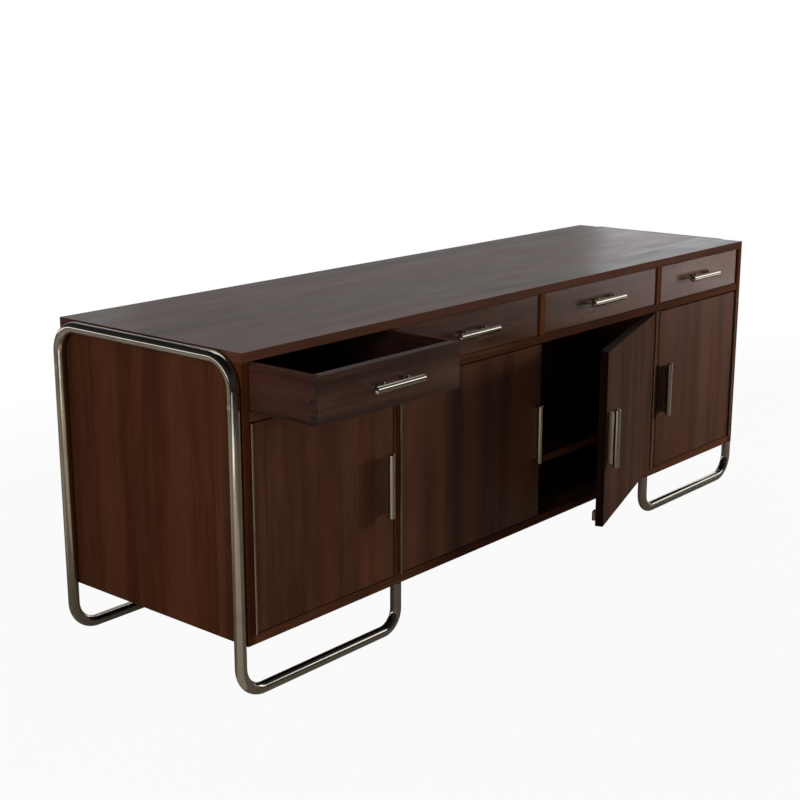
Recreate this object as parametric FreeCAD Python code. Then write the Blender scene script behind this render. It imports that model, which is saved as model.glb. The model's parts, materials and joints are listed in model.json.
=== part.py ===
import FreeCAD, Part
import math
import os

# Sideboard: a wooden cabinet with four drawers over four doors, carried by a bent
# steel tube frame at each end. Millimetres, X along the length, front towards -Y,
# Z up. The origin is on the floor under the middle of the cabinet.

# Cabinet
cabinet_length = 1985.0
cabinet_depth = 559.0
cabinet_height = 600.0
floor_clearance = 117.0
board = 20.0
back_board = 10.0
outer_bay_width = 424.0
drawer_row_height = 100.0

# Shelves, housed in grooves in the uprights
shelf_board = 18.0
shelf_level = 115.0  # underside above the cabinet floor
shelf_setback = 40.0
shelf_housing = 6.0

# Tube frames
tube_diameter = 25.0
tube_seat = 0.1  # clearance to the end panel
left_tube_setback = 10.0  # front centreline of the left frame behind the front face
right_tube_setback = 22.0  # the right frame stands further back
rear_tube_setback = 10.0  # rear centrelines before the back face
tube_drop = 13.0  # centreline below the upper surface
hoop_bend_radius = 60.0
foot_bend_radius = 60.0
leg_bend_radius = 45.0
bend_steps = 6  # short turns in each bend
leg_distance = 461.0  # inner legs from the cabinet's end

# Doors and piano hinges
door_thickness = 20.0
door_gap = 2.0
hinge_gap = 3.0
leaf_thickness = 1.2
leaf_width = 18.0
leaf_relief = 0.4  # leaf edge behind the front, clear of the other leaf's knuckles
barrel_diameter = 5.2
hinge_pin_diameter = 2.4
pin_play = 0.05
knuckle_count = 3
knuckle_gap = 0.3
door_rest_angles = [0.0, 0.0, 19.0, 0.0]

# Door catches and their strikes on the cabinet floor
catch_width = 16.0
catch_depth = 13.0
catch_height = 24.0
catch_inset = 18.0  # from the door's free edge
catch_round = 3.0
strike_width = 14.0
strike_depth = 10.0
strike_height = 9.0
strike_play = 0.3

# Drawers
drawer_gap = 1.5
drawer_run = 0.3  # running gap over the deck
drawer_recess = 4.0
drawer_front_board = 20.0
drawer_side_board = 12.0
drawer_back_board = 12.0
drawer_back_drop = 8.0
drawer_bottom_board = 6.0
drawer_bottom_raise = 8.0
drawer_groove = 6.0
drawer_back_clearance = 2.0
drawer_rest_pulls = [184.0, 0.0, 0.0, 0.0]

# Half-blind dovetails
dovetail_lap = 6.0
dovetail_pin_count = 3
dovetail_pin_width = 12.0  # at the shoulder
dovetail_pin_taper = 2.0  # each side, towards the lap

# Pulls: a rod on a fin
pull_rod_diameter = 16.0
pull_rod_length = 150.0
pull_reach = 20.0  # rod centreline from the face
pull_fin_length = 130.0
pull_fin_thickness = 3.0
door_pull_inset = 28.0  # rod centreline from the door's free edge

# Planes of the cabinet
left = -cabinet_length / 2
right = cabinet_length / 2
front = -cabinet_depth / 2
back = cabinet_depth / 2
underside = floor_clearance
upper = underside + cabinet_height
floor_face = underside + board
ceiling = upper - board
deck_face = ceiling - drawer_row_height
deck_under = deck_face - board
inner_left = left + board
inner_right = right - board
inner_back = back - back_board
partition_outer = inner_left + outer_bay_width
partition_inner = partition_outer + board
shelf_under = floor_face + shelf_level
tube_radius = tube_diameter / 2

X = FreeCAD.Vector(1, 0, 0)
Y = FreeCAD.Vector(0, 1, 0)
Z = FreeCAD.Vector(0, 0, 1)


def box(x_ends, y_ends, z_ends):
    low = FreeCAD.Vector(min(x_ends), min(y_ends), min(z_ends))
    high = FreeCAD.Vector(max(x_ends), max(y_ends), max(z_ends))
    size = high - low
    return Part.makeBox(size.x, size.y, size.z, low)


def cylinder(diameter, start, end):
    way = end - start
    return Part.makeCylinder(diameter / 2, way.Length, start, way)


def bent_path(corners, radii):
    # Straight runs, with each right-angled corner bent in equal short turns round its hub
    points = [corners[0]]
    turn = math.pi / 2 / bend_steps
    for before, corner, after, radius in zip(corners, corners[1:], corners[2:], radii):
        way_in = (corner - before).normalize()
        way_out = (after - corner).normalize()
        hub = corner + (way_out - way_in) * radius
        reach = radius / math.cos(turn / 2)
        for step in range(bend_steps):
            angle = (step + 0.5) * turn
            points.append(hub + (way_in * math.sin(angle) - way_out * math.cos(angle)) * reach)
    points.append(corners[-1])
    return Part.makePolygon(points)


def swept_round(path, diameter):
    start = path.Edges[0].Vertexes[0].Point
    way = path.Edges[0].Vertexes[1].Point - start
    section = Part.Wire(Part.makeCircle(diameter / 2, start, way))
    mitred = 1
    return path.makePipeShell([section], True, False, mitred)


def save(shape, name):
    shape.exportStep("parts/" + name + ".step")


def mirrored(shape):
    return shape.mirror(FreeCAD.Vector(), X)


# Cabinet boards

def shelf_between(x_ends):
    depth = (front + shelf_setback, inner_back)
    ends = (min(x_ends) - shelf_housing, max(x_ends) + shelf_housing)
    return box(ends, depth, (shelf_under, shelf_under + shelf_board))


def end_panel(side, shelf):
    panel = box((side * inner_right, side * right), (front, back), (underside, ceiling))
    return panel.cut(shelf)


def upright(x_ends, z_ends, shelves):
    panel = box(x_ends, (front, inner_back), z_ends)
    for shelf in shelves:
        panel = panel.cut(shelf)
    return panel


left_shelf = shelf_between((inner_left, partition_outer))
centre_shelf = shelf_between((partition_inner, -partition_inner))
right_shelf = mirrored(left_shelf)
cupboard_heights = (floor_face, deck_under)
drawer_heights = (deck_face, ceiling)
partition_ends = (partition_outer, partition_inner)
left_partition = upright(partition_ends, cupboard_heights, [left_shelf, centre_shelf])
left_divider = upright(partition_ends, drawer_heights, [])

cabinet = {
    "top_panel": box((left, right), (front, back), (ceiling, upper)),
    "left_end_panel": end_panel(-1, left_shelf),
    "right_end_panel": end_panel(1, right_shelf),
    "bottom_panel": box((inner_left, inner_right), (front, back), (underside, floor_face)),
    "drawer_deck": box((inner_left, inner_right), (front, inner_back), (deck_under, deck_face)),
    "back_panel": box((inner_left, inner_right), (inner_back, back), (floor_face, ceiling)),
    "left_partition": left_partition,
    "right_partition": mirrored(left_partition),
    "left_drawer_divider": left_divider,
    "centre_drawer_divider": upright((-board / 2, board / 2), drawer_heights, []),
    "right_drawer_divider": mirrored(left_divider),
    "left_shelf": left_shelf,
    "centre_shelf": centre_shelf,
    "right_shelf": right_shelf,
}


# Tube frames: a hoop round the cabinet's end that turns in along the floor and up again

def frame_tube(side, front_setback):
    outside = side * (right + tube_seat + tube_radius)
    inside = side * (right - leg_distance)
    near = front + front_setback
    far = back - rear_tube_setback
    ridge = upper - tube_drop
    corners = [
        FreeCAD.Vector(inside, near, underside),
        FreeCAD.Vector(inside, near, tube_radius),
        FreeCAD.Vector(outside, near, tube_radius),
        FreeCAD.Vector(outside, near, ridge),
        FreeCAD.Vector(outside, far, ridge),
        FreeCAD.Vector(outside, far, tube_radius),
        FreeCAD.Vector(inside, far, tube_radius),
        FreeCAD.Vector(inside, far, underside),
    ]
    half = [leg_bend_radius, foot_bend_radius, hoop_bend_radius]
    return swept_round(bent_path(corners, half + half[::-1]), tube_diameter)


cabinet["left_frame_tube"] = frame_tube(-1, left_tube_setback)
cabinet["right_frame_tube"] = frame_tube(1, right_tube_setback)


# Pull: lies along X on a face at y = 0 and reaches towards -Y

def pull():
    half = X * (pull_rod_length / 2)
    middle = Y * -pull_reach
    rod = cylinder(pull_rod_diameter, middle - half, middle + half)
    fin = box(
        (-pull_fin_length / 2, pull_fin_length / 2),
        (-pull_reach, 0),
        (-pull_fin_thickness / 2, pull_fin_thickness / 2),
    )
    return rod.fuse(fin)


# Doors: each hangs on a piano hinge, way is +1 where the hinge is at the left

door_low = floor_face + door_gap
door_high = deck_under - door_gap
hinge_y = front - barrel_diameter / 2


def hinge_leaf(plate_ends, axis_x, numbers):
    pitch = (door_high - door_low) / knuckle_count
    leaf = box(plate_ends, (front + leaf_relief, front + leaf_width), (door_low, door_high))
    for number in numbers:
        low = door_low + number * pitch + knuckle_gap / 2
        high = low + pitch - knuckle_gap
        start = FreeCAD.Vector(axis_x, hinge_y, low)
        leaf = leaf.fuse(cylinder(barrel_diameter, start, start + Z * (high - low)))
        leaf = leaf.fuse(box(plate_ends, (hinge_y, front + leaf_relief), (low, high)))
    foot = FreeCAD.Vector(axis_x, hinge_y, door_low)
    head = FreeCAD.Vector(axis_x, hinge_y, door_high)
    return leaf.cut(cylinder(hinge_pin_diameter + 2 * pin_play, foot, head)).removeSplitter()


def door_parts(hinge_x, free_x, way, angle):
    axis_x = hinge_x + way * hinge_gap / 2
    edge = hinge_x + way * hinge_gap
    inner = front + door_thickness
    catch_edge = free_x - way * catch_inset
    catch_low = floor_face + strike_height + strike_play
    catch = box(
        (catch_edge - way * catch_width, catch_edge),
        (inner, inner + catch_depth),
        (catch_low, catch_low + catch_height),
    )
    rims = [e for e in catch.Edges if abs(e.CenterOfMass.y - inner - catch_depth) < pin_play]
    pull_x = free_x - way * door_pull_inset
    handle = pull()
    handle.rotate(FreeCAD.Vector(), Y, 90)
    handle.translate(FreeCAD.Vector(pull_x, front, (door_low + door_high) / 2))
    parts = {
        "panel": box((edge, free_x), (front, inner), (door_low, door_high)),
        "hinge_leaf": hinge_leaf((edge - way * leaf_thickness, edge), axis_x, range(1, knuckle_count, 2)),
        "pull": handle,
        "catch": catch.makeFillet(catch_round, rims),
    }
    for shape in parts.values():
        shape.rotate(FreeCAD.Vector(axis_x, hinge_y, 0), Z, -way * angle)
    return parts


def strike(free_x, way):
    middle = free_x - way * (catch_inset + catch_width / 2)
    depth = front + door_thickness + catch_depth / 2
    return box(
        (middle - strike_width / 2, middle + strike_width / 2),
        (depth - strike_depth / 2, depth + strike_depth / 2),
        (floor_face, floor_face + strike_height),
    )


# Hinge side, free edge and direction of each door
door_places = [
    (inner_left, partition_outer - door_gap, 1),
    (partition_inner, -door_gap / 2, 1),
    (-partition_inner, door_gap / 2, -1),
    (inner_right, -partition_outer + door_gap, -1),
]
frame_leaves = []
hinge_pins = []
strikes = []
doors = {}
for number, (hinge_x, free_x, way) in enumerate(door_places):
    for part_name, shape in door_parts(hinge_x, free_x, way, door_rest_angles[number]).items():
        doors["door_%d_%s" % (number + 1, part_name)] = shape
    axis_x = hinge_x + way * hinge_gap / 2
    plate_ends = (hinge_x, hinge_x + way * leaf_thickness)
    frame_leaves.append(hinge_leaf(plate_ends, axis_x, range(0, knuckle_count, 2)))
    foot = FreeCAD.Vector(axis_x, hinge_y, door_low)
    head = FreeCAD.Vector(axis_x, hinge_y, door_high)
    hinge_pins.append(cylinder(hinge_pin_diameter, foot, head))
    strikes.append(strike(free_x, way))

cabinet["hinge_frame_leaves"] = Part.Compound(frame_leaves)
cabinet["hinge_pins"] = Part.Compound(hinge_pins)
cabinet["catch_strikes"] = Part.Compound(strikes)


# Drawers: the sides are dovetailed into the front, the bottom slides in grooves

drawer_low = deck_face + drawer_run
drawer_high = ceiling - drawer_gap
drawer_face = front + drawer_recess
drawer_shoulder = drawer_face + drawer_front_board
drawer_rear = inner_back - drawer_back_clearance


def dovetail_tails(x_ends):
    # The end of a side: a block with the front's tapered pins cut out of it
    lap = drawer_face + dovetail_lap
    tails = box(x_ends, (lap, drawer_shoulder), (drawer_low, drawer_high))
    pitch = (drawer_high - drawer_low) / dovetail_pin_count
    for number in range(dovetail_pin_count):
        middle = drawer_low + (number + 0.5) * pitch
        wide = dovetail_pin_width / 2
        narrow = wide - dovetail_pin_taper
        outline = Part.makePolygon([
            FreeCAD.Vector(min(x_ends), lap, middle - narrow),
            FreeCAD.Vector(min(x_ends), lap, middle + narrow),
            FreeCAD.Vector(min(x_ends), drawer_shoulder, middle + wide),
            FreeCAD.Vector(min(x_ends), drawer_shoulder, middle - wide),
            FreeCAD.Vector(min(x_ends), lap, middle - narrow),
        ])
        tails = tails.cut(Part.Face(outline).extrude(X * (max(x_ends) - min(x_ends))))
    return tails


def drawer_parts(bay, pulled):
    low_x = bay[0] + drawer_gap
    high_x = bay[1] - drawer_gap
    left_ends = (low_x, low_x + drawer_side_board)
    right_ends = (high_x - drawer_side_board, high_x)
    bottom_low = drawer_low + drawer_bottom_raise
    bottom_high = bottom_low + drawer_bottom_board
    bottom = box(
        (left_ends[1] - drawer_groove, right_ends[0] + drawer_groove),
        (drawer_shoulder - drawer_groove, drawer_rear),
        (bottom_low, bottom_high),
    )
    front_board = box((low_x, high_x), (drawer_face, drawer_shoulder), (drawer_low, drawer_high))
    sides = []
    for x_ends in (left_ends, right_ends):
        tails = dovetail_tails(x_ends)
        front_board = front_board.cut(tails)
        side_board = box(x_ends, (drawer_shoulder, drawer_rear), (drawer_low, drawer_high))
        sides.append(side_board.fuse(tails).removeSplitter().cut(bottom))
    handle = pull()
    handle.translate(FreeCAD.Vector((low_x + high_x) / 2, drawer_face, (drawer_low + drawer_high) / 2))
    parts = {
        "front": front_board.cut(bottom),
        "sides": Part.Compound(sides),
        "back": box(
            (left_ends[1], right_ends[0]),
            (drawer_rear - drawer_back_board, drawer_rear),
            (bottom_high, drawer_high - drawer_back_drop),
        ),
        "bottom": bottom,
        "pull": handle,
    }
    for shape in parts.values():
        shape.translate(Y * -pulled)
    return parts


drawer_bays = [
    (inner_left, partition_outer),
    (partition_inner, -board / 2),
    (board / 2, -partition_inner),
    (-partition_outer, inner_right),
]
drawers = {}
for number, bay in enumerate(drawer_bays):
    for part_name, shape in drawer_parts(bay, drawer_rest_pulls[number]).items():
        drawers["drawer_%d_%s" % (number + 1, part_name)] = shape


os.makedirs("parts", exist_ok=True)
for group in (cabinet, doors, drawers):
    for name, shape in group.items():
        save(shape, name)
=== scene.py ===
import bpy
import bmesh
import json
import math
from mathutils import Matrix, Vector


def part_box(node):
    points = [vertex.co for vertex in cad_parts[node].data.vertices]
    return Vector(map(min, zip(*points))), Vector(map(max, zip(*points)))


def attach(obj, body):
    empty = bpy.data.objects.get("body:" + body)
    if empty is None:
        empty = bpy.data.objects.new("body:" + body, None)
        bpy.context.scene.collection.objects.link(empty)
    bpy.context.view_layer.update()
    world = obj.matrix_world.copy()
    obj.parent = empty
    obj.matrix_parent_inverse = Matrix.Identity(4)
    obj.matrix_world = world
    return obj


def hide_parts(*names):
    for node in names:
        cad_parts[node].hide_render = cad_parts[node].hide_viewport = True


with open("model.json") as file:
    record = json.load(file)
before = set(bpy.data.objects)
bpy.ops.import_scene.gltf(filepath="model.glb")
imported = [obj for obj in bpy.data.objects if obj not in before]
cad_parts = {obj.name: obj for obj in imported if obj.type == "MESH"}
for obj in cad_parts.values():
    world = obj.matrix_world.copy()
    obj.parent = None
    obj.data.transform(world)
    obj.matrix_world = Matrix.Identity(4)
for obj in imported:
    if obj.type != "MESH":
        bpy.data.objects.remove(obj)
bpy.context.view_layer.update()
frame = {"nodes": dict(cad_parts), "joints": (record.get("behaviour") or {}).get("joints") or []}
nodes = frame["nodes"]
scene = bpy.context.scene
joints = {joint["child"]: joint for joint in frame["joints"]}
numbers = range(1, 5)  # of the doors and of the drawers


# Small helpers for node trees

def addNode(tree, kind, **settings):
    node = tree.nodes.new(kind)
    for name, value in settings.items():
        setattr(node, name, value)
    return node


def feed(tree, socket, value):
    if isinstance(value, bpy.types.NodeSocket):
        tree.links.new(value, socket)
    else:
        socket.default_value = value


def calc(tree, operation, a, b=0.0, c=0.0, clamp=False):
    node = addNode(tree, "ShaderNodeMath", operation=operation, use_clamp=clamp)
    for socket, value in zip(node.inputs, (a, b, c)):
        feed(tree, socket, value)
    return node.outputs[0]


def vectorCalc(tree, operation, a, b):
    node = addNode(tree, "ShaderNodeVectorMath", operation=operation)
    feed(tree, node.inputs[0], a)
    feed(tree, node.inputs[1], b)
    return node.outputs[0]


def mixColour(tree, factor, a, b, blend="MIX"):
    node = addNode(tree, "ShaderNodeMix", data_type="RGBA", blend_type=blend)
    feed(tree, node.inputs["Factor"], factor)
    feed(tree, node.inputs[6], a)
    feed(tree, node.inputs[7], b)
    return node.outputs[2]


def weigh(tree, total, *terms):
    # adds each value times its share to the total
    for value, share in terms:
        total = calc(tree, "MULTIPLY_ADD", value, share, total)
    return total


def rescale(tree, value, low, high, newLow=0.0, newHigh=1.0):
    node = addNode(tree, "ShaderNodeMapRange", interpolation_type="SMOOTHSTEP")
    for socket, number in zip(node.inputs, (value, low, high, newLow, newHigh)):
        feed(tree, socket, number)
    return node.outputs[0]


def noise(tree, vector, detail, roughness):
    node = addNode(tree, "ShaderNodeTexNoise")
    feed(tree, node.inputs["Vector"], vector)
    node.inputs["Scale"].default_value = 1.0
    node.inputs["Detail"].default_value = detail
    node.inputs["Roughness"].default_value = roughness
    return node


def newGroup(name, inputs, outputs):
    tree = bpy.data.node_groups.new(name, "ShaderNodeTree")
    for label, kind in inputs:
        tree.interface.new_socket(label, in_out="INPUT", socket_type=kind)
    for label, kind in outputs:
        tree.interface.new_socket(label, in_out="OUTPUT", socket_type=kind)
    return tree, addNode(tree, "NodeGroupInput"), addNode(tree, "NodeGroupOutput")


def placeGroup(tree, group, **values):
    node = addNode(tree, "ShaderNodeGroup", node_tree=group)
    for label, value in values.items():
        feed(tree, node.inputs[label], value)
    return node


# Walnut figure: the grain runs along the vector's X

grainLayers = {  # scale along and across the grain, detail, roughness
    "wander": (1.1, 4.0, 2.0, 0.5),  # slow bend of the grain
    "bands": (0.6, 17.0, 3.0, 0.5),
    "streaks": (3.0, 170.0, 3.0, 0.5),
    "fibres": (12.0, 800.0, 2.0, 0.5),
    "pores": (55.0, 1900.0, 1.0, 0.5),
    "blush": (0.5, 7.0, 2.0, 0.5),  # red patches
    "mottle": (5.0, 17.0, 3.0, 0.6),  # short patches
}
grainBlend = {
    "plankShift": (3.0, 0.4, 0.4), "sway": (0.0, 0.05, 0.05), "poreRange": (0.6, 0.72),
    "toneRange": (0.39, 0.61), "redRange": (0.5, 0.66), "redShare": 0.7,
    "tone": {"streaks": 0.3, "bands": 0.7},
    "shade": {"base": 0.33, "plank": 0.34, "fibres": 0.3, "pores": -0.35, "mottle": 0.7},
    "dull": {"base": 0.27, "mottle": 0.16, "streaks": 0.06, "pores": 0.06},
    "poreDepth": -0.8,
}
walnutFigure, figureIn, figureOut = newGroup(
    "walnutFigure",
    [("Vector", "NodeSocketVector"), ("Dark", "NodeSocketColor"), ("Light", "NodeSocketColor"),
     ("Red", "NodeSocketColor"), ("PlankWidth", "NodeSocketFloat")],
    [("Colour", "NodeSocketColor"), ("Roughness", "NodeSocketFloat"), ("Height", "NodeSocketFloat")])


def grainLayer(tree, name, vector):
    along, across, detail, roughness = grainLayers[name]
    return noise(tree, vectorCalc(tree, "MULTIPLY", vector, (along, across, across)), detail, roughness)


def fillWalnutFigure(tree, source, target):
    place = source.outputs["Vector"]
    across = addNode(tree, "ShaderNodeSeparateXYZ")
    feed(tree, across.inputs[0], place)
    plank = addNode(tree, "ShaderNodeTexWhiteNoise", noise_dimensions="1D")
    feed(tree, plank.inputs["W"],
         calc(tree, "FLOOR", calc(tree, "DIVIDE", across.outputs["Y"], source.outputs["PlankWidth"])))
    shift = vectorCalc(tree, "MULTIPLY", plank.outputs["Color"], grainBlend["plankShift"])
    shifted = vectorCalc(tree, "ADD", place, shift)
    wander = grainLayer(tree, "wander", shifted).outputs["Color"]
    centred = vectorCalc(tree, "SUBTRACT", wander, (0.5, 0.5, 0.5))
    sway = vectorCalc(tree, "MULTIPLY", centred, grainBlend["sway"])
    grain = vectorCalc(tree, "ADD", shifted, sway)
    layers = {name: grainLayer(tree, name, grain).outputs[0] for name in grainLayers if name != "wander"}
    layers["pores"] = rescale(tree, layers["pores"], *grainBlend["poreRange"])
    layers["plank"] = plank.outputs["Value"]

    def blend(shares):
        terms = [(layers[name], share) for name, share in shares.items() if name != "base"]
        return weigh(tree, shares.get("base", 0.0), *terms)

    tone = rescale(tree, blend(grainBlend["tone"]), *grainBlend["toneRange"])
    colour = mixColour(tree, tone, source.outputs["Dark"], source.outputs["Light"])
    blush = rescale(tree, layers["blush"], *grainBlend["redRange"])
    redness = calc(tree, "MULTIPLY", blush, grainBlend["redShare"])
    colour = mixColour(tree, redness, colour, source.outputs["Red"])
    tint = addNode(tree, "ShaderNodeCombineColor")
    shade = blend(grainBlend["shade"])
    for socket in tint.inputs[:3]:
        feed(tree, socket, shade)
    feed(tree, target.inputs["Colour"], mixColour(tree, 1.0, colour, tint.outputs[0], "MULTIPLY"))
    feed(tree, target.inputs["Roughness"], blend(grainBlend["dull"]))
    height = weigh(tree, layers["fibres"], (layers["pores"], grainBlend["poreDepth"]))
    feed(tree, target.inputs["Height"], height)


fillWalnutFigure(walnutFigure, figureIn, figureOut)

# Board edges: 1 where a face looks along the board instead of out of its broad side

edgeRange = {"broad": 0.985, "edge": 0.9}  # how squarely a face looks out of the broad side
boardEdge, edgeIn, edgeOut = newGroup(
    "boardEdge",
    [("Broadside", "NodeSocketVector"), ("Normal", "NodeSocketVector")],
    [("Mask", "NodeSocketFloat")])


def fillBoardEdge(tree, source, target):
    facing = addNode(tree, "ShaderNodeVectorMath", operation="DOT_PRODUCT")
    feed(tree, facing.inputs[0], source.outputs["Broadside"])
    feed(tree, facing.inputs[1], source.outputs["Normal"])
    squarely = calc(tree, "ABSOLUTE", facing.outputs["Value"])
    feed(tree, target.inputs["Mask"], rescale(tree, squarely, edgeRange["broad"], edgeRange["edge"]))


fillBoardEdge(boardEdge, edgeIn, edgeOut)

# Plating: faint smears on polished metal

smears = {"scale": 14.0, "detail": 4.0, "roughness": 0.6, "stainRange": (0.45, 0.75), "stainShare": 0.7,
          "dullRange": (0.4, 0.7), "dullShare": 0.06}
platingMarks, marksIn, marksOut = newGroup(
    "platingMarks",
    [("Vector", "NodeSocketVector"), ("Polish", "NodeSocketFloat"), ("Bright", "NodeSocketColor"),
     ("Stained", "NodeSocketColor")],
    [("Colour", "NodeSocketColor"), ("Roughness", "NodeSocketFloat")])


def fillPlatingMarks(tree, source, target):
    place = vectorCalc(tree, "MULTIPLY", source.outputs["Vector"], (smears["scale"],) * 3)
    smear = noise(tree, place, smears["detail"], smears["roughness"]).outputs[0]
    stain = calc(tree, "MULTIPLY", rescale(tree, smear, *smears["stainRange"]), smears["stainShare"])
    feed(tree, target.inputs["Colour"],
         mixColour(tree, stain, source.outputs["Bright"], source.outputs["Stained"]))
    dull = rescale(tree, smear, *smears["dullRange"])
    feed(tree, target.inputs["Roughness"], weigh(tree, source.outputs["Polish"], (dull, smears["dullShare"])))


fillPlatingMarks(platingMarks, marksIn, marksOut)


def newMaterial(name):
    material = bpy.data.materials.new(name)
    material.use_nodes = True
    return material, material.node_tree, material.node_tree.nodes["Principled BSDF"]


def bump(tree, height, strength, distance):
    node = addNode(tree, "ShaderNodeBump")
    node.inputs["Strength"].default_value = strength
    node.inputs["Distance"].default_value = distance
    feed(tree, node.inputs["Height"], height)
    return node.outputs[0]


lacquer = {"edgeDull": 0.4, "bumpStrength": 0.1, "bumpDepth": 0.0003}
grainTurns = {"X": (0.0, 0.0, 0.0), "Y": (0.0, 0.0, math.radians(-90)), "Z": (0.0, math.radians(90), 0.0)}
broadSides = {"X": (1.0, 0.0, 0.0), "Y": (0.0, 1.0, 0.0), "Z": (0.0, 0.0, 1.0)}


def walnut(name, grain, broadside, look):
    material, tree, shader = newMaterial(name)
    coordinates = addNode(tree, "ShaderNodeTexCoord")
    turn = addNode(tree, "ShaderNodeMapping")
    turn.inputs["Rotation"].default_value = grainTurns[grain]
    turn.inputs["Location"].default_value = look["offset"]
    feed(tree, turn.inputs["Vector"], coordinates.outputs["Object"])
    figure = placeGroup(tree, walnutFigure, Vector=turn.outputs[0], Dark=look["dark"], Light=look["light"],
                        Red=look["red"], PlankWidth=look["plank"])
    edge = placeGroup(tree, boardEdge, Broadside=broadSides[broadside], Normal=coordinates.outputs["Normal"])
    along = placeGroup(tree, boardEdge, Broadside=broadSides[grain], Normal=coordinates.outputs["Normal"])
    edgeTint = mixColour(tree, along.outputs["Mask"], look["end"], look["edge"])
    edged = mixColour(tree, 1.0, figure.outputs["Colour"], edgeTint, "MULTIPLY")
    feed(tree, shader.inputs["Base Color"],
         mixColour(tree, edge.outputs["Mask"], figure.outputs["Colour"], edged))
    dull = calc(tree, "ADD", figure.outputs["Roughness"], look["dull"])
    feed(tree, shader.inputs["Roughness"], weigh(tree, dull, (edge.outputs["Mask"], lacquer["edgeDull"])))
    feed(tree, shader.inputs["Normal"],
         bump(tree, figure.outputs["Height"], lacquer["bumpStrength"], lacquer["bumpDepth"]))
    shader.inputs["Specular IOR Level"].default_value = look["shine"]
    shader.inputs["Specular Tint"].default_value = look["tint"]
    return material


def plating(name, look):
    material, tree, shader = newMaterial(name)
    coordinates = addNode(tree, "ShaderNodeTexCoord")
    marks = placeGroup(tree, platingMarks, Vector=coordinates.outputs["Object"], Polish=look["polish"],
                       Bright=look["bright"], Stained=look["stained"])
    feed(tree, shader.inputs["Base Color"], marks.outputs["Colour"])
    feed(tree, shader.inputs["Roughness"], marks.outputs["Roughness"])
    shader.inputs["Metallic"].default_value = 1.0
    return material


walnutLooks = {  # edge and end are tints over the figure, on long edges and on end grain
    "ends": {
        "dark": (0.033, 0.0115, 0.0053, 1), "light": (0.056, 0.0197, 0.0094, 1),
        "red": (0.07, 0.02, 0.0075, 1), "edge": (1.15, 1.0, 0.9, 1), "end": (1.15, 1.0, 0.9, 1),
        "tint": (1.0, 1.0, 1.0, 1), "plank": 0.6, "shine": 0.02, "dull": 0.0, "offset": (0.0, 0.3, 0.0)},
    "cabinet": {
        "dark": (0.028, 0.0102, 0.005, 1), "light": (0.056, 0.0215, 0.011, 1),
        "red": (0.068, 0.021, 0.0085, 1), "edge": (1.52, 1.52, 1.5, 1), "end": (1.52, 1.52, 1.5, 1),
        "tint": (1.0, 1.0, 1.0, 1), "plank": 0.125, "shine": 0.06, "dull": 0.0, "offset": (0.3, 0.0, 0.5)},
    "doors": {
        "dark": (0.036, 0.0134, 0.0072, 1), "light": (0.06, 0.0238, 0.0128, 1),
        # the doors' near-black edge and end tints are painted shade: they darken the door edges to stand for
        # shadow in the gaps and on the free edges
        "red": (0.088, 0.0275, 0.0113, 1), "edge": (0.17, 0.135, 0.12, 1), "end": (0.17, 0.135, 0.12, 1),
        "tint": (1.0, 1.0, 1.0, 1), "plank": 0.131, "shine": 0.18, "dull": 0.0, "offset": (0.7, 0.3, 0.1)},
    "drawerFronts": {
        "dark": (0.025, 0.01, 0.0056, 1), "light": (0.062, 0.0265, 0.0155, 1),
        "red": (0.07, 0.023, 0.0103, 1), "edge": (1.0, 0.84, 0.74, 1), "end": (0.08, 0.07, 0.07, 1),
        "tint": (1.0, 0.92, 0.9, 1), "plank": 0.3, "shine": 0.85, "dull": -0.08, "offset": (0.2, 0.9, 0.4)},
    "drawerSides": {
        "dark": (0.008, 0.0038, 0.003, 1), "light": (0.031, 0.0134, 0.0096, 1),
        "red": (0.066, 0.017, 0.0083, 1), "edge": (2.2, 2.0, 1.8, 1), "end": (1.0, 0.95, 0.9, 1),
        "tint": (1.0, 1.0, 1.0, 1), "plank": 0.06, "shine": 0.06, "dull": 0.0, "offset": (0.5, 0.1, 0.8)},
    "top": {
        "dark": (0.034, 0.0132, 0.0078, 1), "light": (0.088, 0.037, 0.0225, 1),
        "red": (0.118, 0.0375, 0.0175, 1), "edge": (0.62, 0.57, 0.54, 1), "end": (0.62, 0.57, 0.54, 1),
        "tint": (0.94, 0.94, 1.0, 1), "plank": 0.14, "shine": 0.2, "dull": -0.08, "offset": (0.1, 0.6, 0.2)},
}
nickelLooks = {
    "frames": {"bright": (0.56, 0.515, 0.45, 1), "stained": (0.44, 0.39, 0.32, 1), "polish": 0.09},
    "pulls": {"bright": (0.62, 0.575, 0.5, 1), "stained": (0.5, 0.44, 0.35, 1), "polish": 0.1},
    # the fins' pale beige plating is partly a satin finish and partly painted reflection: brighter than the
    # rod nickel to show the bright floor they mirror
    "fins": {"bright": (0.84, 0.74, 0.59, 1), "stained": (0.7, 0.6, 0.46, 1), "polish": 0.3},
    # the screws' near-white plating is a painted highlight: brighter than the frame nickel so the flush heads
    # show as bright glints
    "screws": {"bright": (0.92, 0.89, 0.84, 1), "stained": (0.84, 0.79, 0.7, 1), "polish": 0.4},
    "hinges": {"bright": (0.5, 0.41, 0.3, 1), "stained": (0.3, 0.24, 0.17, 1), "polish": 0.36},
}

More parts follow.
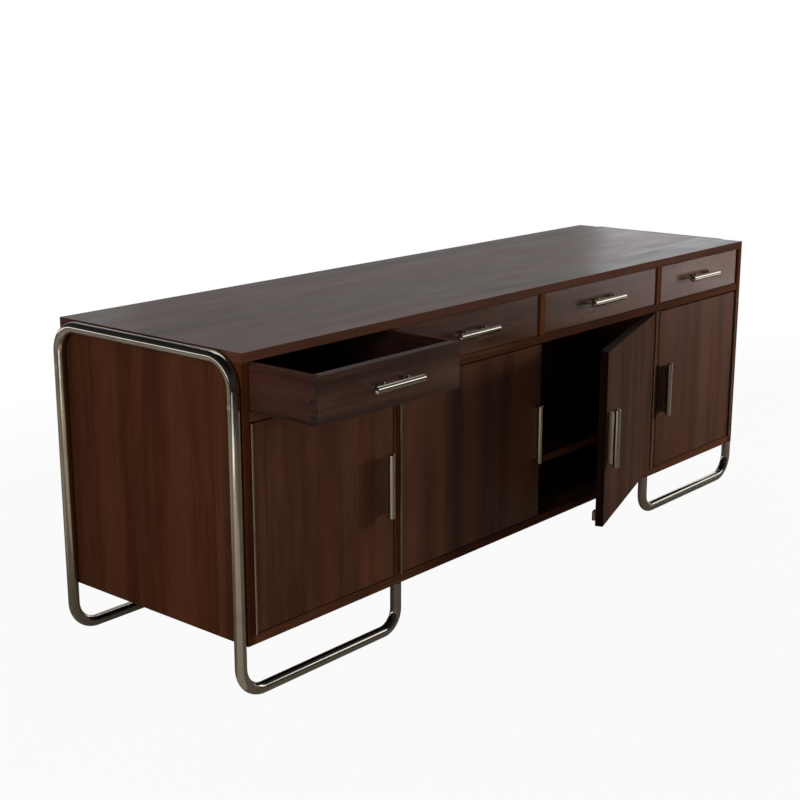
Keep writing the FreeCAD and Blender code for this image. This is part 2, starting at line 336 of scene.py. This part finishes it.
endWalnut = walnut("endWalnut", "Z", "X", walnutLooks["ends"])
uprightWalnut = walnut("uprightWalnut", "Z", "X", walnutLooks["cabinet"])
levelWalnut = walnut("levelWalnut", "X", "Z", walnutLooks["cabinet"])
backWalnut = walnut("backWalnut", "X", "Y", walnutLooks["cabinet"])
topWalnut = walnut("topWalnut", "X", "Z", walnutLooks["top"])
doorWalnut = walnut("doorWalnut", "Z", "Y", walnutLooks["doors"])
drawerFrontWalnut = walnut("drawerFrontWalnut", "X", "Y", walnutLooks["drawerFronts"])
drawerSideWood = walnut("drawerSideWood", "Y", "X", walnutLooks["drawerSides"])
drawerBackWood = walnut("drawerBackWood", "X", "Y", walnutLooks["drawerSides"])
drawerBottomWood = walnut("drawerBottomWood", "Y", "Z", walnutLooks["drawerSides"])
frameNickel = plating("frameNickel", nickelLooks["frames"])
pullNickel = plating("pullNickel", nickelLooks["pulls"])
finNickelSatinAndSheen = plating("finNickelSatinAndSheen", nickelLooks["fins"])
hingeNickel = plating("hingeNickel", nickelLooks["hinges"])
# the frame screw heads get this whiter plating as a painted highlight
screwNickelPaintedGlint = plating("screwNickelPaintedGlint", nickelLooks["screws"])
print("materials made:", len(bpy.data.materials))


# Small helpers for meshes

weld = 1e-6  # points nearer than this are one
quarterTurn = [math.radians(turn) for turn in range(0, 91, 15)]
bothSides = (-0.5, 0.5)


def newPiece(name, bm, material, body, stands=(), soft=32):
    bmesh.ops.recalc_face_normals(bm, faces=bm.faces)
    for face in bm.faces:
        face.smooth = True
    for edge in bm.edges:
        edge.smooth = edge.calc_face_angle(0.0) < math.radians(soft)
    mesh = bpy.data.meshes.new(name)
    bm.to_mesh(mesh)
    bm.free()
    mesh.materials.append(material)
    piece = bpy.data.objects.new(name, mesh)
    scene.collection.objects.link(piece)
    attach(piece, body)
    if stands:
        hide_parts(*stands)


def vertsOf(geometry):
    return [item for item in geometry if isinstance(item, bmesh.types.BMVert)]


def edgesOf(geometry):
    return [item for item in geometry if isinstance(item, bmesh.types.BMEdge)]


def addBlock(bm, low, high):
    size = Vector(high) - Vector(low)
    place = Matrix.Translation((Vector(low) + Vector(high)) / 2) @ Matrix.Diagonal((*size, 1.0))
    bmesh.ops.create_cube(bm, size=1.0, matrix=place)


def turnedForm(bm, profile, axisPoint, axis, steps):
    # profile is a list of points from pole to pole
    chain = [bm.verts.new(point) for point in profile]
    edges = [bm.edges.new(pair) for pair in zip(chain, chain[1:])]
    bmesh.ops.spin(bm, geom=chain + edges, cent=axisPoint, axis=axis, angle=math.tau, steps=steps,
                   use_merge=True)
    bmesh.ops.remove_doubles(bm, verts=bm.verts[:], dist=weld)


# Boards: copies of the solids with eased edges

boardEase = {"carcass": 0.0009, "doors": 0.0014, "drawers": 0.0007, "dovetails": 0.0006, "segments": 2,
             "flatTurn": 1, "cornerTurn": 30, "softTurn": 10}


def easedBoard(node, material, body, ease):
    bm = bmesh.new()
    bm.from_mesh(nodes[node].data)
    bmesh.ops.remove_doubles(bm, verts=bm.verts, dist=weld)
    bmesh.ops.dissolve_limit(bm, angle_limit=math.radians(boardEase["flatTurn"]), verts=bm.verts,
                             edges=bm.edges)
    sharp = math.radians(boardEase["cornerTurn"])
    corners = [edge for edge in bm.edges if edge.calc_face_angle(0.0) > sharp]
    bmesh.ops.bevel(bm, geom=corners, offset=ease, segments=boardEase["segments"], profile=0.5,
                    affect="EDGES", material=-1, clamp_overlap=True)
    newPiece("eased_" + node, bm, material, body, [node], soft=boardEase["softTurn"])


cabinetBoards = {
    "top_panel": topWalnut,
    "left_end_panel": endWalnut,
    "right_end_panel": endWalnut,
    "bottom_panel": levelWalnut,
    "drawer_deck": levelWalnut,
    "left_partition": uprightWalnut,
    "right_partition": uprightWalnut,
    "left_drawer_divider": uprightWalnut,
    "centre_drawer_divider": uprightWalnut,
    "right_drawer_divider": uprightWalnut,
    "back_panel": backWalnut,
    "left_shelf": levelWalnut,
    "centre_shelf": levelWalnut,
    "right_shelf": levelWalnut,
}
for node, material in cabinetBoards.items():
    easedBoard(node, material, "carcass", boardEase["carcass"])
for number in numbers:
    door = "door_%d" % number
    drawer = "drawer_%d" % number
    easedBoard(door + "_panel", doorWalnut, door, boardEase["doors"])
    easedBoard(drawer + "_front", drawerFrontWalnut, drawer, boardEase["dovetails"])
    easedBoard(drawer + "_sides", drawerSideWood, drawer, boardEase["dovetails"])
    easedBoard(drawer + "_back", drawerBackWood, drawer, boardEase["drawers"])
    easedBoard(drawer + "_bottom", drawerBottomWood, drawer, boardEase["drawers"])
print("boards eased")


# Tube frames: one ring drawn along straight runs and spun round each bend

tubeFrame = {"radius": 0.0125, "hoopBend": 0.06, "footBend": 0.06, "legBend": 0.045, "sides": 36,
             "bendSteps": 14}


def drawTube(bm, ring, way):
    drawn = bmesh.ops.extrude_edge_only(bm, edges=ring)["geom"]
    moved = set(vertsOf(drawn))
    bmesh.ops.translate(bm, verts=list(moved), vec=way)
    return [edge for edge in edgesOf(drawn) if set(edge.verts) <= moved]


def bendTube(bm, ring, hub, axis):
    spun = bmesh.ops.spin(bm, geom=ring, cent=hub, axis=axis, angle=math.radians(90),
                          steps=tubeFrame["bendSteps"], use_merge=False, use_normal_flip=False)
    return edgesOf(spun["geom_last"])


def frameTube(node):
    low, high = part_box(node)
    radius = tubeFrame["radius"]
    outward = -1 if low.x < 0 else 1
    outside = (low.x + radius) if outward < 0 else (high.x - radius)
    inside = (high.x - radius) if outward < 0 else (low.x + radius)
    near, far = low.y + radius, high.y - radius
    ridge, runner = high.z - radius, low.z + radius
    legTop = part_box("bottom_panel")[0].z
    corners = [Vector(point) for point in (
        (inside, near, legTop), (inside, near, runner), (outside, near, runner), (outside, near, ridge),
        (outside, far, ridge), (outside, far, runner), (inside, far, runner), (inside, far, legTop))]
    half = [tubeFrame["legBend"], tubeFrame["footBend"], tubeFrame["hoopBend"]]
    bends = half + half[::-1]
    bm = bmesh.new()
    bmesh.ops.create_circle(bm, cap_ends=True, radius=radius, segments=tubeFrame["sides"],
                            matrix=Matrix.Translation(corners[0]))
    ring = list(bm.edges)
    place = corners[0]
    for before, corner, after, bend in zip(corners, corners[1:], corners[2:], bends):
        wayIn = (corner - before).normalized()
        wayOut = (after - corner).normalized()
        start = corner - wayIn * bend
        ring = drawTube(bm, ring, start - place)
        ring = bendTube(bm, ring, start + wayOut * bend, wayIn.cross(wayOut))
        place = corner + wayOut * bend
    ring = drawTube(bm, ring, corners[-1] - place)
    bmesh.ops.contextual_create(bm, geom=ring)
    newPiece(node.replace("_tube", "_bent_tube"), bm, frameNickel, "carcass", [node])


frameTube("left_frame_tube")
frameTube("right_frame_tube")
print("tube frames bent")


# Pulls: a domed rod on a thin satin fin, with two small bosses on one side of the fin

pull = {"rodRadius": 0.008, "rodLength": 0.15, "rodSteps": 32, "dome": 0.004, "domeSteps": 5, "reach": 0.02,
        "finLength": 0.13, "finHalf": 0.0015, "finFlare": 0.0032, "finSink": 0.6,
        "bossRadius": 0.0042, "bossHeight": 0.0092, "bossRound": 0.0018, "bossSides": 20,
        "bossSetback": 0.0065, "bossSpacing": 0.072}


def addRod(bm):
    half, radius, dome = pull["rodLength"] / 2, pull["rodRadius"], pull["dome"]
    capRadius = (radius * radius + dome * dome) / (2 * dome)
    capAngle = math.asin(radius / capRadius)
    turns = [capAngle * step / pull["domeSteps"] for step in range(pull["domeSteps"] + 1)]
    arc = [(capRadius * math.sin(turn), capRadius * (1 - math.cos(turn))) for turn in turns]
    profile = [(-half + back, -pull["reach"] - out, 0.0) for out, back in arc]
    profile += [(half - back, -pull["reach"] - out, 0.0) for out, back in reversed(arc)]
    turnedForm(bm, profile, (0.0, -pull["reach"], 0.0), (1.0, 0.0, 0.0), pull["rodSteps"])


def addFin(bm):
    half, thick, flare = pull["finLength"] / 2, pull["finHalf"], pull["finFlare"]
    inner = pull["reach"] - pull["finSink"] * pull["rodRadius"]
    cove = flare - thick
    side = [(0.0, thick)]
    side += [(-inner + cove * (1 - math.sin(turn)), thick + cove * (1 - math.cos(turn)))
             for turn in quarterTurn]
    outline = side + [(y, -z) for y, z in reversed(side)]
    face = bm.faces.new([bm.verts.new((-half, y, z)) for y, z in outline])
    drawn = bmesh.ops.extrude_face_region(bm, geom=[face])["geom"]
    bmesh.ops.translate(bm, verts=vertsOf(drawn), vec=(2 * half, 0.0, 0.0))


def addBosses(bm):
    for side in bothSides:
        spot = (side * pull["bossSpacing"], -pull["bossSetback"], pull["bossHeight"] / 2)
        made = bmesh.ops.create_cone(bm, cap_ends=True, segments=pull["bossSides"],
                                     radius1=pull["bossRadius"], radius2=pull["bossRadius"],
                                     depth=pull["bossHeight"], matrix=Matrix.Translation(spot))
        rim = {edge for vert in made["verts"] for edge in vert.link_edges
               if all(abs(end.co.z - pull["bossHeight"]) < weld for end in edge.verts)}
        bmesh.ops.bevel(bm, geom=list(rim), offset=pull["bossRound"], segments=3, profile=0.5,
                        affect="EDGES", material=-1)


def pullPiece(node, body, place):
    rod = bmesh.new()
    addRod(rod)
    addBosses(rod)
    bmesh.ops.transform(rod, matrix=place, verts=rod.verts)
    newPiece(node.replace("_pull", "_rod_pull"), rod, pullNickel, body, [node])
    fin = bmesh.new()
    addFin(fin)
    bmesh.ops.transform(fin, matrix=place, verts=fin.verts)
    newPiece(node.replace("_pull", "_pull_fin"), fin, finNickelSatinAndSheen, body)


def restTurn(body):
    # how far the door is already open at rest, about its own hinge
    joint = joints[body]
    pivot = Matrix.Translation(joint["pos_m"])
    angle = math.radians(-joint["range_deg"][0])
    return pivot @ Matrix.Rotation(angle, 4, Vector(joint["axis"])) @ pivot.inverted()


def closedBox(node, body):
    back = restTurn(body).inverted()
    points = [back @ vert.co for vert in nodes[node].data.vertices]
    low = Vector(min(point[axis] for point in points) for axis in range(3))
    high = Vector(max(point[axis] for point in points) for axis in range(3))
    return low, high


for number in numbers:
    drawer = "drawer_%d" % number
    low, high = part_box(drawer + "_pull")
    foot = Matrix.Translation(((low.x + high.x) / 2, high.y, (low.z + high.z) / 2))
    pullPiece(drawer + "_pull", drawer, foot)
    door = "door_%d" % number
    low, high = closedBox(door + "_pull", door)
    foot = Matrix.Translation(((low.x + high.x) / 2, high.y, (low.z + high.z) / 2))
    pullPiece(door + "_pull", door, restTurn(door) @ foot @ Matrix.Rotation(math.radians(90), 4, "Y"))
print("pulls made")


# Piano hinges: many short knuckles, shared in turn between the two leaves

hinge = {"leaf": 0.0012, "leafWidth": 0.018, "relief": 0.0004, "barrelRadius": 0.0026, "barrelSides": 16,
         "knuckles": 34, "knuckleRound": 0.00035, "gap": 0.0004}


def addKnuckles(bm, axisPoint, low, high, first):
    pitch = (high - low) / hinge["knuckles"]
    for number in range(first, hinge["knuckles"], 2):
        middle = low + (number + 0.5) * pitch
        made = bmesh.ops.create_cone(bm, cap_ends=True, segments=hinge["barrelSides"],
                                     radius1=hinge["barrelRadius"], radius2=hinge["barrelRadius"],
                                     depth=pitch - hinge["gap"],
                                     matrix=Matrix.Translation((axisPoint.x, axisPoint.y, middle)))
        rims = [edge for vert in made["verts"] for edge in vert.link_edges
                if abs(edge.verts[0].co.z - edge.verts[1].co.z) < weld]
        bmesh.ops.bevel(bm, geom=list(set(rims)), offset=hinge["knuckleRound"], segments=1, profile=0.5,
                        affect="EDGES", material=-1)


def hingeLeaf(bm, plate, axisPoint, low, high, front, first):
    addBlock(bm, (min(plate), front + hinge["relief"], low),
             (max(plate), front + hinge["leafWidth"], high))
    pitch = (high - low) / hinge["knuckles"]
    for number in range(first, hinge["knuckles"], 2):  # a tongue carries each knuckle
        foot = low + number * pitch + hinge["gap"] / 2
        addBlock(bm, (min(plate), axisPoint.y, foot),
                 (max(plate), front + hinge["relief"], foot + pitch - hinge["gap"]))
    addKnuckles(bm, axisPoint, low, high, first)


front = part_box("left_end_panel")[0].y
frameLeaves = bmesh.new()
for number in numbers:
    door = "door_%d" % number
    leafLow, leafHigh = closedBox(door + "_hinge_leaf", door)
    panelLow, panelHigh = closedBox(door + "_panel", door)
    axisPoint = Vector(joints[door]["pos_m"])
    way = 1 if axisPoint.x < (panelLow.x + panelHigh.x) / 2 else -1
    doorEdge = panelLow.x if way > 0 else panelHigh.x
    frameEdge = 2 * axisPoint.x - doorEdge
    bm = bmesh.new()
    hingeLeaf(bm, (doorEdge - way * hinge["leaf"], doorEdge), axisPoint, leafLow.z, leafHigh.z, front, 1)
    bmesh.ops.transform(bm, matrix=restTurn(door), verts=bm.verts)
    newPiece(door + "_piano_leaf", bm, hingeNickel, door, [door + "_hinge_leaf"])
    hingeLeaf(frameLeaves, (frameEdge, frameEdge + way * hinge["leaf"]), axisPoint, leafLow.z, leafHigh.z,
              front, 0)
newPiece("frame_piano_leaves", frameLeaves, hingeNickel, "carcass", ["hinge_frame_leaves"])
print("hinges made")


# Pull screws on the inner faces, and the flush screws that hold the frames

screwHead = {"radius": 0.0045, "height": 0.0022, "steps": 20}


def addScrewHead(bm, place):
    before = set(bm.verts)
    radius, height = screwHead["radius"], screwHead["height"]
    profile = [(radius * math.sin(turn), 0.0, height * math.cos(turn)) for turn in quarterTurn]
    profile.append((0.0, 0.0, 0.0))
    turnedForm(bm, profile, (0.0, 0.0, 0.0), (0.0, 0.0, 1.0), screwHead["steps"])
    bmesh.ops.transform(bm, matrix=place, verts=[vert for vert in bm.verts if vert not in before])


inward = Matrix.Rotation(math.radians(-90), 4, "X")
for number in numbers:
    door = "door_%d" % number
    low, high = closedBox(door + "_pull", door)
    inner = closedBox(door + "_panel", door)[1].y
    bm = bmesh.new()
    for side in bothSides:
        spot = Vector(((low.x + high.x) / 2, inner, (low.z + high.z) / 2 + side * pull["bossSpacing"]))
        addScrewHead(bm, restTurn(door) @ Matrix.Translation(spot) @ inward)
    newPiece(door + "_pull_screws", bm, hingeNickel, door)
    drawer = "drawer_%d" % number
    low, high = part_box(drawer + "_pull")
    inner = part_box(drawer + "_front")[1].y
    bm = bmesh.new()
    for side in bothSides:
        spot = Vector(((low.x + high.x) / 2 + side * pull["bossSpacing"], inner, (low.z + high.z) / 2))
        addScrewHead(bm, Matrix.Translation(spot) @ inward)
    newPiece(drawer + "_pull_screws", bm, hingeNickel, drawer)

frameScrew = {"radius": 0.0045, "depth": 0.003, "socket": 0.0024, "sink": 0.0012, "height": 0.614,
              "sides": 24}


def addFrameScrew(bm, place):
    before = set(bm.verts)
    depth = frameScrew["depth"]
    made = bmesh.ops.create_cone(bm, cap_ends=True, segments=frameScrew["sides"],
                                 radius1=frameScrew["radius"], radius2=frameScrew["radius"], depth=depth,
                                 matrix=Matrix.Translation((0.0, 0.0, -depth / 2)))
    rim = {vert for vert in made["verts"] if abs(vert.co.z) < weld}
    outer = [face for face in bm.faces if set(face.verts) <= rim]
    bmesh.ops.inset_individual(bm, faces=outer, thickness=frameScrew["radius"] - frameScrew["socket"])
    inner = bmesh.ops.extrude_face_region(bm, geom=outer)["geom"]
    bmesh.ops.delete(bm, geom=outer, context="FACES_ONLY")
    bmesh.ops.translate(bm, verts=vertsOf(inner), vec=(0.0, 0.0, -frameScrew["sink"]))
    bmesh.ops.transform(bm, matrix=place, verts=[vert for vert in bm.verts if vert not in before])


bm = bmesh.new()
for node in ("left_frame_tube", "right_frame_tube"):
    low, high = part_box(node)
    face = low.x if low.x < 0 else high.x
    for y in (low.y + tubeFrame["radius"], high.y - tubeFrame["radius"]):
        turn = Matrix.Rotation(math.radians(90 if face > 0 else -90), 4, "Y")
        addFrameScrew(bm, Matrix.Translation((face, y, frameScrew["height"])) @ turn)
newPiece("frame_screw_heads", bm, screwNickelPaintedGlint, "carcass")
print("screws made")

for node in ["hinge_pins", "catch_strikes"] + ["door_%d_catch" % number for number in numbers]:
    nodes[node].data.materials.clear()
    nodes[node].data.materials.append(hingeNickel)


# Studio: pale floor, soft lamps, white surroundings

studio = {
    "floorSize": 60.0, "floorDrop": 0.0003, "floorColour": (0.21, 0.187, 0.162, 1), "floorDull": 0.7,
    "floorStretch": (0.75, 1.1, 1.0), "nearWhite": 1.4, "farWhite": 2.6, "lift": 0.95, "ambient": 0.09,
    "darkSide": 0.06, "backdrop": 0.49, "backdropSide": (0.93, 0.37, 0.0), "backdropRange": (0.4, 1.02),
    "ceilingRange": (0.4, 0.85), "ceiling": 0.25,
    "glow": 1.6, "glowSide": (-0.65, 0.76, 0.0), "glowRange": (0.6, 0.9), "glowHeight": (0.02, 0.2),
}


def studioFloor():
    bm = bmesh.new()
    bmesh.ops.create_grid(bm, x_segments=8, y_segments=8, size=studio["floorSize"] / 2,
                          matrix=Matrix.Translation((0.0, 0.0, -studio["floorDrop"])))
    mesh = bpy.data.meshes.new("studioFloor")
    bm.to_mesh(mesh)
    bm.free()
    floor = bpy.data.objects.new("studioFloor", mesh)
    scene.collection.objects.link(floor)
    material, tree, shader = newMaterial("studioFloor")
    mesh.materials.append(material)
    coordinates = addNode(tree, "ShaderNodeTexCoord")
    away = addNode(tree, "ShaderNodeVectorMath", operation="LENGTH")
    feed(tree, away.inputs[0],
         vectorCalc(tree, "MULTIPLY", coordinates.outputs["Object"], studio["floorStretch"]))
    rays = addNode(tree, "ShaderNodeLightPath")
    seen = calc(tree, "ADD", rays.outputs["Is Camera Ray"], rays.outputs["Is Transmission Ray"], clamp=True)
    far = rescale(tree, away.outputs["Value"], studio["nearWhite"], studio["farWhite"], studio["lift"], 1.0)
    fade = calc(tree, "MULTIPLY", far, seen)
    shader.inputs["Base Color"].default_value = studio["floorColour"]
    shader.inputs["Roughness"].default_value = studio["floorDull"]
    shader.inputs["Specular IOR Level"].default_value = 0.0
    glow = addNode(tree, "ShaderNodeEmission")
    blend = addNode(tree, "ShaderNodeMixShader")
    feed(tree, blend.inputs[0], fade)
    tree.links.new(shader.outputs[0], blend.inputs[1])
    tree.links.new(glow.outputs[0], blend.inputs[2])
    tree.links.new(blend.outputs[0], tree.nodes["Material Output"].inputs["Surface"])


def studioWorld():
    world = bpy.data.worlds.new("studioWorld")
    scene.world = world
    world.use_nodes = True
    tree = world.node_tree
    background = tree.nodes["Background"]
    background.inputs["Color"].default_value = (1.0, 1.0, 1.0, 1)
    rays = addNode(tree, "ShaderNodeLightPath")
    direction = addNode(tree, "ShaderNodeTexCoord")
    facing = addNode(tree, "ShaderNodeVectorMath", operation="DOT_PRODUCT")
    feed(tree, facing.inputs[0], direction.outputs["Generated"])
    feed(tree, facing.inputs[1], studio["backdropSide"])
    parts = addNode(tree, "ShaderNodeSeparateXYZ")
    feed(tree, parts.inputs[0], direction.outputs["Generated"])
    backdrop = rescale(tree, facing.outputs["Value"], *studio["backdropRange"], studio["darkSide"], 1.0)
    ceiling = rescale(tree, parts.outputs["Z"], *studio["ceilingRange"], 1.0, studio["ceiling"])
    gloss = calc(tree, "MULTIPLY", calc(tree, "MULTIPLY", backdrop, ceiling), studio["backdrop"])
    leftward = addNode(tree, "ShaderNodeVectorMath", operation="DOT_PRODUCT")
    feed(tree, leftward.inputs[0], direction.outputs["Generated"])
    feed(tree, leftward.inputs[1], studio["glowSide"])
    glow = rescale(tree, leftward.outputs["Value"], *studio["glowRange"], 0.0, studio["glow"])
    nearHorizon = rescale(tree, parts.outputs["Z"], *studio["glowHeight"], 1.0, 0.0)
    gloss = calc(tree, "ADD", gloss, calc(tree, "MULTIPLY", glow, nearHorizon))
    seen = calc(tree, "ADD", rays.outputs["Is Camera Ray"], rays.outputs["Is Transmission Ray"], clamp=True)
    soft = calc(tree, "SUBTRACT", gloss, studio["ambient"])
    ambient = calc(tree, "MULTIPLY_ADD", rays.outputs["Is Glossy Ray"], soft, studio["ambient"])
    feed(tree, background.inputs["Strength"],
         calc(tree, "MULTIPLY_ADD", seen, calc(tree, "SUBTRACT", 1.0, ambient), ambient))


# Cards show only in polished and lacquered faces, and the lamps in unmirrored show in none of them
lamps = {  # place, aim, size, power, colour
    "rightKey": ((3.6, -1.8, 0.9), (0.1, -0.28, 0.5), (0.6, 0.7), 41.0, (1.0, 0.98, 0.96)),
    "leftFill": ((-2.9, -0.9, 0.95), (-1.0, -0.1, 0.4), (0.6, 1.6), 45.0, (1.0, 0.93, 0.86)),
    "frontFill": ((-1.9, -2.6, 1.0), (-0.7, -0.4, 0.6), (0.8, 0.8), 14.0, (1.0, 0.95, 0.9)),
    "overhead": ((0.8, 1.0, 3.4), (0.2, 0.0, 0.6), (3.2, 1.6), 18.0, (1.0, 0.98, 0.97)),
    "topSheen": ((4.6, 1.5, 1.25), (0.6, 0.0, 0.7), (1.8, 0.9), 6.0, (0.93, 0.94, 1.0)),
    "backFill": ((0.6, 3.2, 1.1), (0.2, 0.28, 0.4), (2.0, 1.0), 55.0, (1.0, 0.97, 0.94)),
    "keyCard": ((3.4, -2.5, 2.1), (0.0, -0.28, 0.6), (3.0, 1.3), 21.0, (1.0, 0.99, 0.98)),
    "rearCard": ((1.0, 3.6, 1.35), (-0.6, 0.2, 0.7), (1.4, 0.9), 1.2, (0.96, 0.97, 1.0)),
    "rightFloorCard": ((4.4, -2.2, 0.004), (4.4, -2.2, 1.0), (2.0, 1.4), 22.0, (1.0, 0.97, 0.97)),
    "leftFloorCard": ((-2.0, -0.8, 0.004), (-2.0, -0.8, 1.0), (2.0, 1.2), 1.2, (1.0, 0.93, 0.82)),
    "coolFloorCard": ((-3.1, -1.2, 0.004), (-3.1, -1.2, 1.0), (1.3, 1.1), 4.6, (0.85, 0.93, 1.0)),
    "backFloorCard": ((-4.3, 3.4, 0.004), (-4.3, 3.4, 1.0), (6.0, 6.0), 20.0, (1.0, 0.915, 0.85)),
}
unmirrored = ("rightKey", "leftFill", "frontFill", "backFill")
spreads = {"rightKey": 80}  # degrees, 180 for the others


def softLamp(name, place, aim, size, power, colour):
    lamp = bpy.data.lights.new(name, "AREA")
    lamp.shape = "RECTANGLE"
    lamp.size, lamp.size_y = size
    lamp.energy = power
    lamp.color = colour
    lamp.spread = math.radians(spreads.get(name, 180))
    holder = bpy.data.objects.new(name, lamp)
    scene.collection.objects.link(holder)
    holder.location = place
    holder.rotation_euler = (Vector(aim) - Vector(place)).to_track_quat("-Z", "Y").to_euler()
    holder.visible_camera = False
    holder.visible_diffuse = not name.endswith("Card")
    holder.visible_glossy = name not in unmirrored


studioFloor()
studioWorld()
for name, setting in lamps.items():
    softLamp(name, *setting)

camera = {"lens": 65.92, "sensor": 36.0, "place": (-2.8537, -2.2713, 1.3144), "tilt": 75.75, "turn": -49.42}
lens = bpy.data.cameras.new("photoCamera")
lens.lens = camera["lens"]
lens.sensor_width = camera["sensor"]
viewer = bpy.data.objects.new("photoCamera", lens)
viewer.location = camera["place"]
viewer.rotation_euler = (math.radians(camera["tilt"]), 0.0, math.radians(camera["turn"]))
scene.collection.objects.link(viewer)
scene.camera = viewer
scene.view_settings.view_transform = "Standard"
print("studio set")
